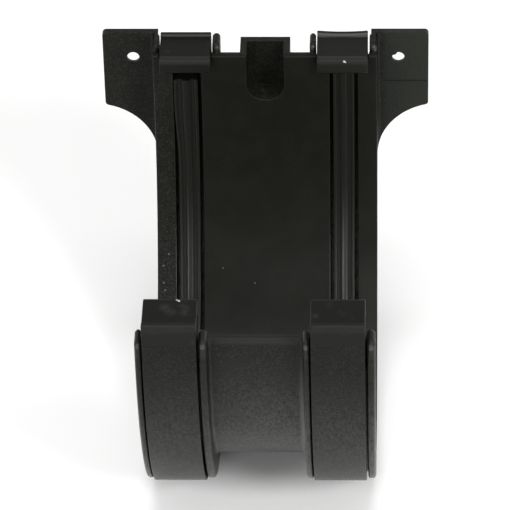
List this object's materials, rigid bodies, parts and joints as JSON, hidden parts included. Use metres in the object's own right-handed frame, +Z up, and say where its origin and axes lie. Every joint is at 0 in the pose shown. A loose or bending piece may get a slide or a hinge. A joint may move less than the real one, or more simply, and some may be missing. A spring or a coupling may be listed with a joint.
{
  "type": "gutter union bracket",
  "caption": "Deep half-oval gutter union bracket with screw ears, a rear screw pocket, rubber seals in grooves and hooked retaining straps.",
  "frame": {"origin": "midway between the two ear screw holes, on the plane of the rear faces that meet the board", "axes": "+X along the gutter, +Y towards the wall board, +Z up"},
  "size_m": [0.105, 0.1403, 0.1116],
  "materials": {
    "body_plastic": "black moulded plastic with a fine grain",
    "strap_plastic": "black moulded plastic, grained outside and smoother on the hooks",
    "seal_rubber": "black rubber with lengthwise ribs"
  },
  "bodies": {
    "root": {"union_body": "body_plastic", "left_strap": "strap_plastic", "right_strap": "strap_plastic", "left_seal": "seal_rubber", "right_seal": "seal_rubber"}
  },
  "joints": []
}
